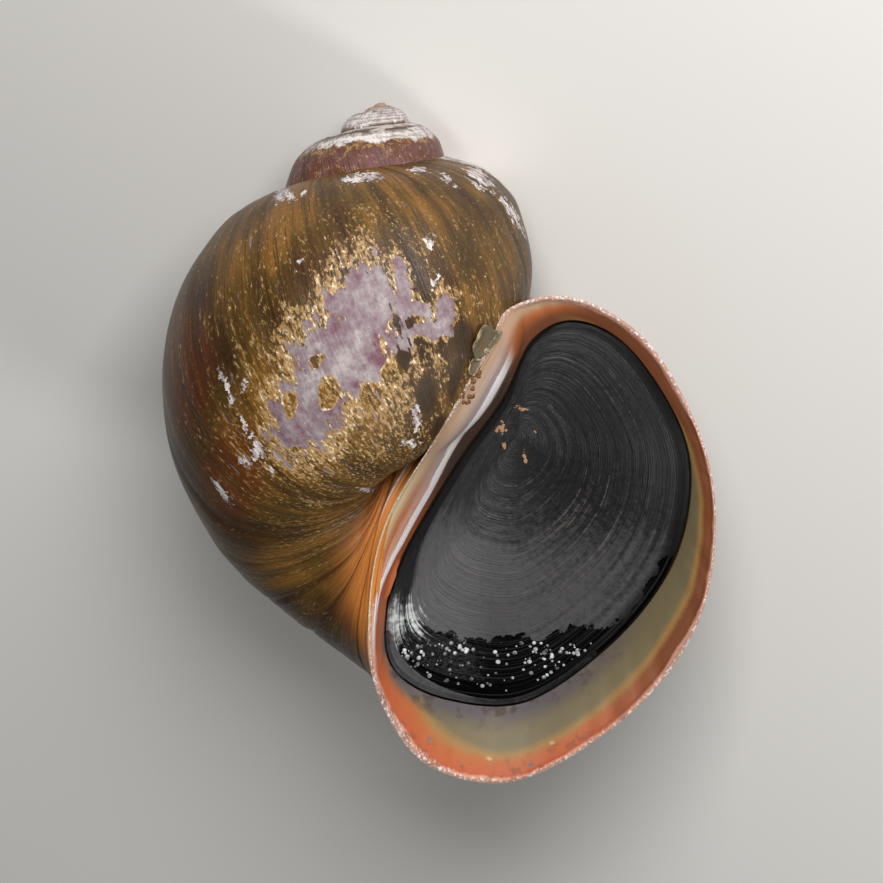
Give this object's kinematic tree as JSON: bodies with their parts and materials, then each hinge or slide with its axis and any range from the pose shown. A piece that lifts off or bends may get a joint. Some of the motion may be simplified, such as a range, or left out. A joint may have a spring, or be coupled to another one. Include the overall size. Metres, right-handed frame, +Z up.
{
  "type": "apple snail shell with operculum",
  "caption": "Globose right-handed snail shell with a low spire and a flared mouth closed by a dished horny operculum, lying on its back.",
  "frame": {"origin": "on the floor, under the middle of the whole shell's box", "axes": "+Z up from the floor it lies on; the mouth faces up and towards -Y; the coiling axis slopes down to the apex at the front right"},
  "size_m": [0.0776, 0.0654, 0.0484],
  "materials": {
    "apex": "worn chalky shell",
    "spire": "red-brown horny skin with gold flecks",
    "shell": "glossy olive-brown horny skin",
    "lip": "smooth coral-orange shell",
    "operculum": "dark horn with growth rings"
  },
  "bodies": {
    "root": {"apex": "apex", "spire_whorl": "spire", "penultimate_whorl": "spire", "body_whorl_left": "shell", "body_whorl_back": "shell", "body_whorl_right": "shell", "outer_lip": "lip", "basal_lip": "lip", "inner_lip": "lip", "parietal_lip": "lip", "operculum": "operculum"}
  },
  "joints": []
}
